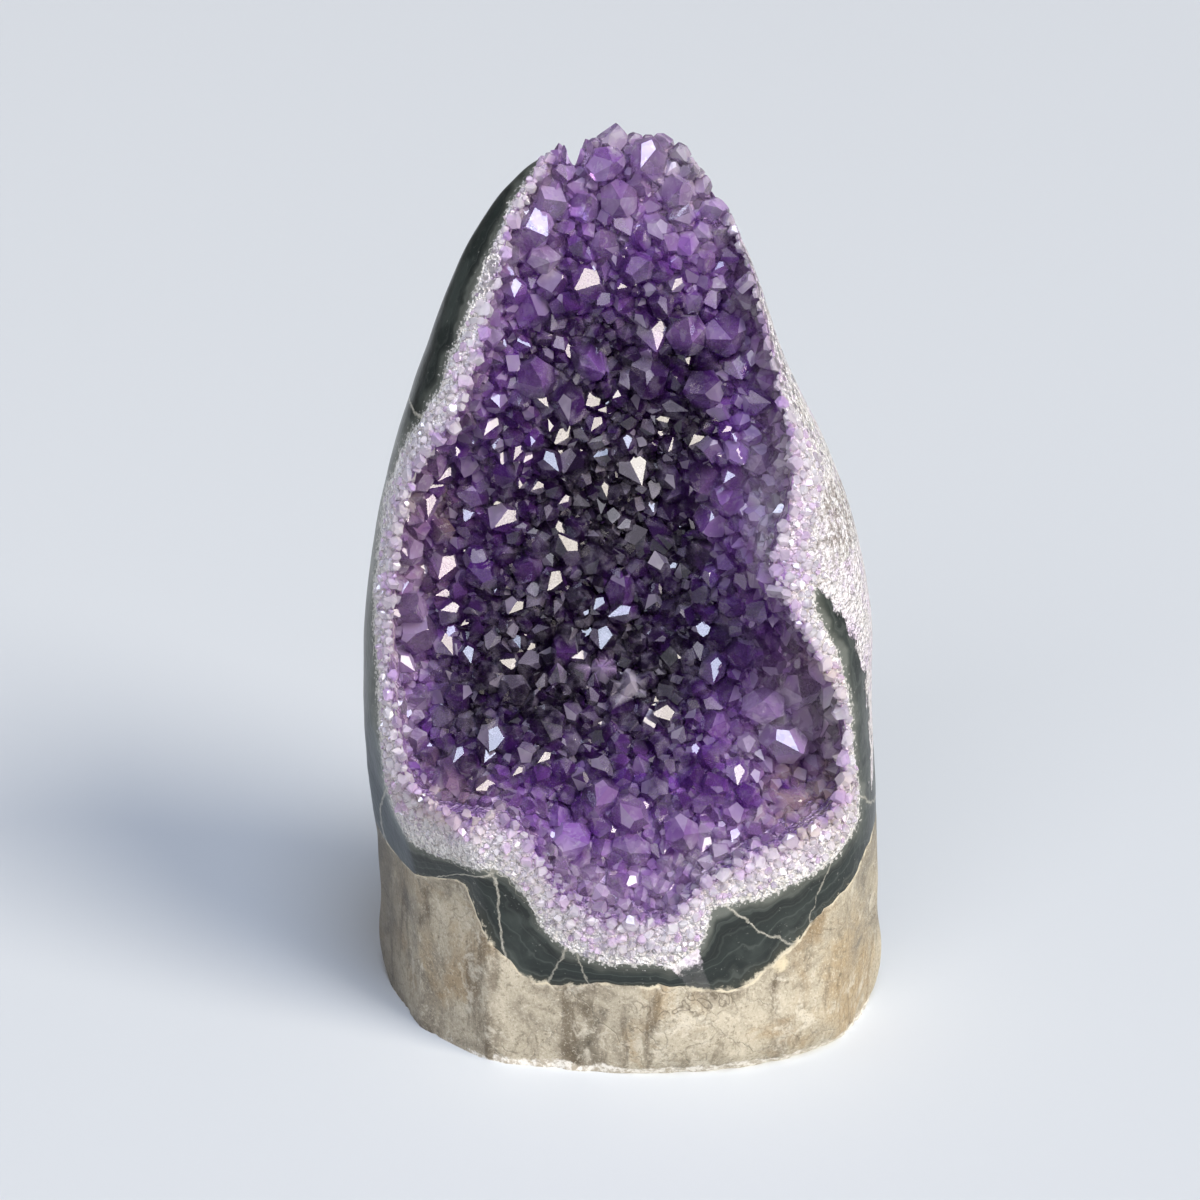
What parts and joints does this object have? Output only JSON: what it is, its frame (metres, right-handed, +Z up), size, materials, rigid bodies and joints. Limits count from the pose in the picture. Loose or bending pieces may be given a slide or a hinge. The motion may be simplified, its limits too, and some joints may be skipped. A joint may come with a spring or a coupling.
{
  "type": "amethyst geode",
  "caption": "Upright geode cut to stand on a flat sawn base: a stone shell with bands of agate and quartz around an open hollow lined with purple amethyst points.",
  "frame": {"origin": "middle of the flat sawn base, on its plane", "axes": "+Z up along the geode's height, -Y towards the front where the hollow opens, +X to the right of someone who faces the hollow"},
  "size_m": [0.0978, 0.0706, 0.165],
  "materials": {
    "basalt_matrix": "ground and lightly polished weathered basalt, tan with brown streaks, satin",
    "agate_rind": "polished dark green-grey agate, glossy",
    "quartz_band": "polished granular white quartz, lilac towards the crystals",
    "amethyst_druse": "natural faceted amethyst crystals, clear purple with bright mirror faces"
  },
  "bodies": {
    "root": {"basalt_matrix": "basalt_matrix", "agate_rind": "agate_rind", "quartz_band": "quartz_band", "amethyst_druse": "amethyst_druse"}
  },
  "joints": []
}
